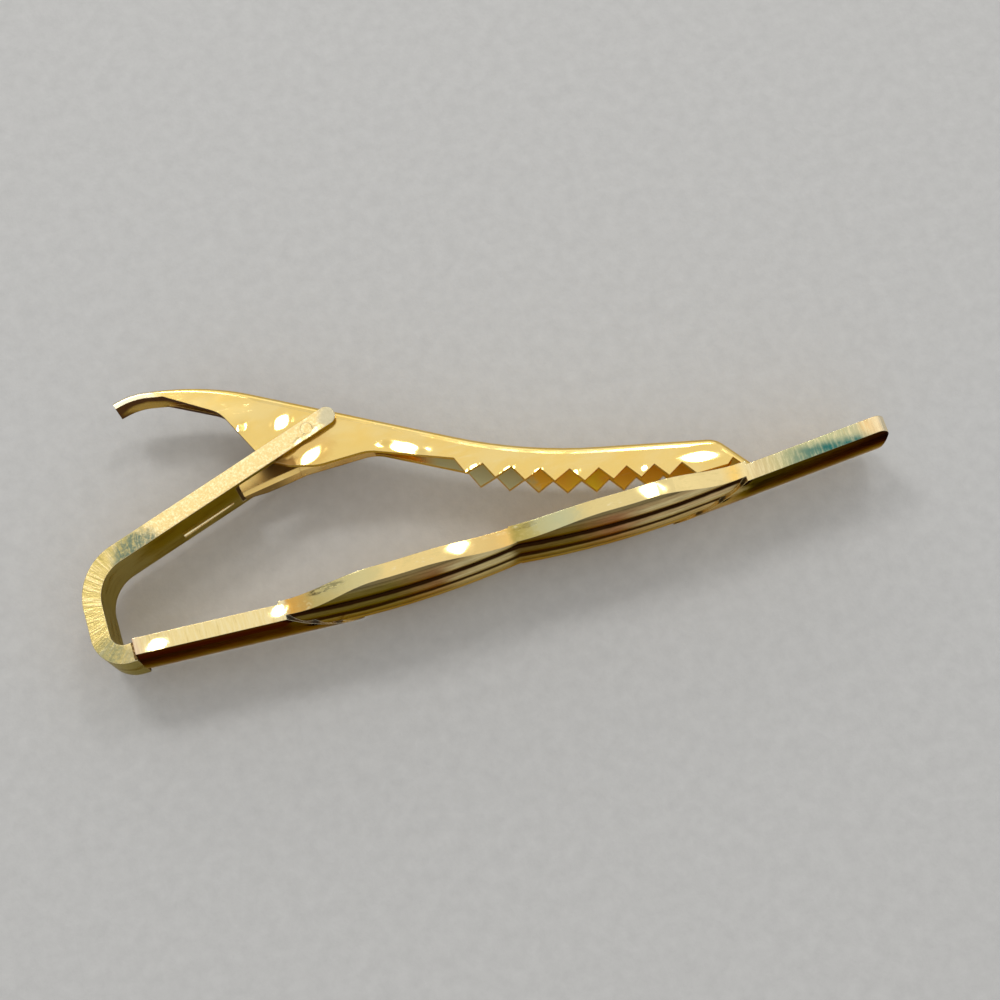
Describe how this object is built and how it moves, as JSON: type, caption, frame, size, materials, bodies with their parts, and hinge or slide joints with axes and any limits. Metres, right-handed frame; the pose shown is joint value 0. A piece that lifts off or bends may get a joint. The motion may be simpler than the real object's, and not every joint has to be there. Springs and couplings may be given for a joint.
{
  "type": "tie clip",
  "caption": "Sprung tie clip: a domed, fluted front bar with a bent back arm and a toothed lever on a pin that grips the cloth against the bar.",
  "frame": {"origin": "under the middle of the clip's box, on the flats of the lobes' long edges on which it lies", "axes": "+X along the bar from the bent arm towards the nose of the lever, +Y from the bar's front towards the lever, +Z across the width, up from the table"},
  "size_m": [0.0572, 0.02, 0.0082],
  "materials": {
    "polished_gold_plate": "polished gold plate, pitted and tarnished at the edges",
    "worn_gold_plate": "gold plate, sheared edges, tarnished",
    "bright_gold_plate": "mirror polished gold plate, worn pale at the thumb tab",
    "pin_metal": "satin, dark in the joint",
    "spring_steel": "drawn wire"
  },
  "bodies": {
    "frame": {"front_bar": "polished_gold_plate", "back_arm": "worn_gold_plate", "pivot_pin": "pin_metal", "jaw_spring": "spring_steel"},
    "lever": {"jaw_lever": "bright_gold_plate"}
  },
  "joints": [
    {"name": "lever_hinge", "type": "hinge", "parent": "frame", "child": "lever", "pos_m": [-0.01056, 0.00351, 0.0041], "axis": [0, 0, 1], "range_deg": [0, 20], "stiffness_Nm_per_rad": 0.01, "springref_deg": -20.05, "deforming": ["jaw_spring"]}
  ]
}
